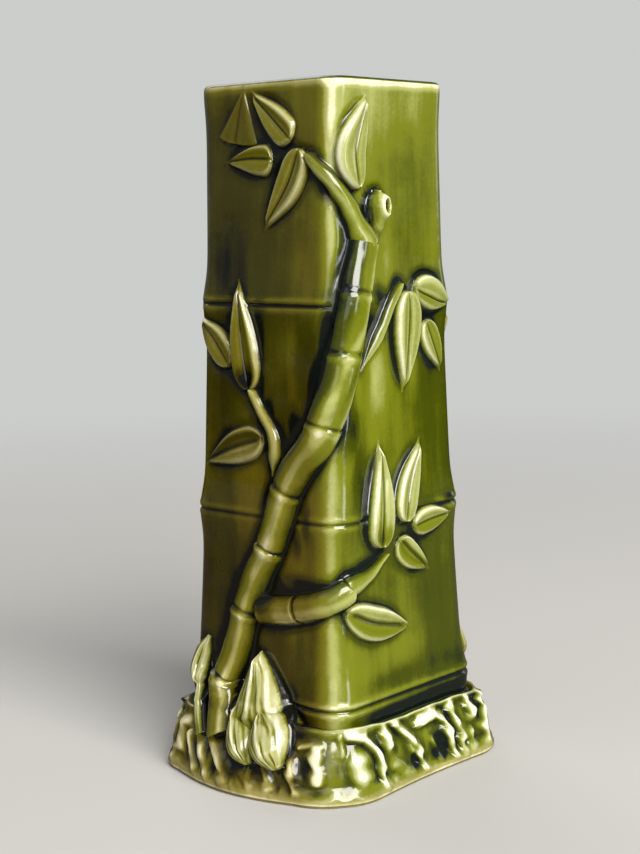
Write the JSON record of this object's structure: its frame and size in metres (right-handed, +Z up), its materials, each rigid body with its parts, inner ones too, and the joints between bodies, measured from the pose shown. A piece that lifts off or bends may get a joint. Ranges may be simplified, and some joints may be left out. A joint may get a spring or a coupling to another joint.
{
  "type": "ceramic vase",
  "caption": "Tall square pottery vase with rounded corners, bamboo stems and leaves in relief, ring-jointed walls and a rocky plinth, for cut flowers.",
  "frame": {"origin": "centre of the bounding box's bottom face, on the plane the foot stands on", "axes": "+Z up along the vase, -Y out of the front face that carries the foot of the bamboo stem, +X out of the right face"},
  "size_m": [0.101, 0.1232, 0.254],
  "materials": {
    "body_glaze": "glossy",
    "plinth_glaze": "glossy",
    "culm_glaze": "glossy",
    "leaf_glaze": "glossy",
    "twig_glaze": "glossy",
    "shoot_glaze": "glossy"
  },
  "bodies": {
    "root": {"back_culm_foot": "culm_glaze", "back_culm_lower": "culm_glaze", "back_culm_middle": "culm_glaze", "back_culm_upper": "culm_glaze", "back_cut_stub": "twig_glaze", "back_leaf_left_back": "leaf_glaze", "back_leaf_left_front": "leaf_glaze", "back_leaf_left_low": "leaf_glaze", "back_leaf_low_fifth": "leaf_glaze", "back_leaf_low_first": "leaf_glaze", "back_leaf_low_second": "leaf_glaze", "back_leaf_low_third": "leaf_glaze", "back_leaf_right_long": "leaf_glaze", "back_leaf_right_round": "leaf_glaze", "back_leaf_top_left": "leaf_glaze", "back_leaf_top_lower": "leaf_glaze", "back_leaf_top_right": "leaf_glaze", "back_leaf_top_upper": "leaf_glaze", "back_left_twig": "twig_glaze", "back_right_twig": "twig_glaze", "back_shoot_left_sheath": "shoot_glaze", "back_shoot_right_sheath": "shoot_glaze", "back_shoot_tip": "shoot_glaze", "back_side_branch": "culm_glaze", "back_side_twig": "twig_glaze", "back_small_shoot": "shoot_glaze", "back_top_twig": "twig_glaze", "body_shell": "body_glaze", "culm_foot": "culm_glaze", "culm_lower": "culm_glaze", "culm_middle": "culm_glaze", "culm_upper": "culm_glaze", "cut_stub": "twig_glaze", "leaf_left_back": "leaf_glaze", "leaf_left_front": "leaf_glaze", "leaf_left_low": "leaf_glaze", "leaf_low_fifth": "leaf_glaze", "leaf_low_first": "leaf_glaze", "leaf_low_fourth": "leaf_glaze", "leaf_low_second": "leaf_glaze", "leaf_low_third": "leaf_glaze", "leaf_right_drop": "leaf_glaze", "leaf_right_long": "leaf_glaze", "leaf_right_round": "leaf_glaze", "leaf_top_back": "leaf_glaze", "leaf_top_left": "leaf_glaze", "leaf_top_lower": "leaf_glaze", "leaf_top_right": "leaf_glaze", "leaf_top_upper": "leaf_glaze", "left_twig": "twig_glaze", "plinth": "plinth_glaze", "right_twig": "twig_glaze", "shoot_left_sheath": "shoot_glaze", "shoot_right_sheath": "shoot_glaze", "shoot_tip": "shoot_glaze", "side_branch": "culm_glaze", "side_twig": "twig_glaze", "small_shoot": "shoot_glaze", "top_twig": "twig_glaze"}
  },
  "joints": []
}
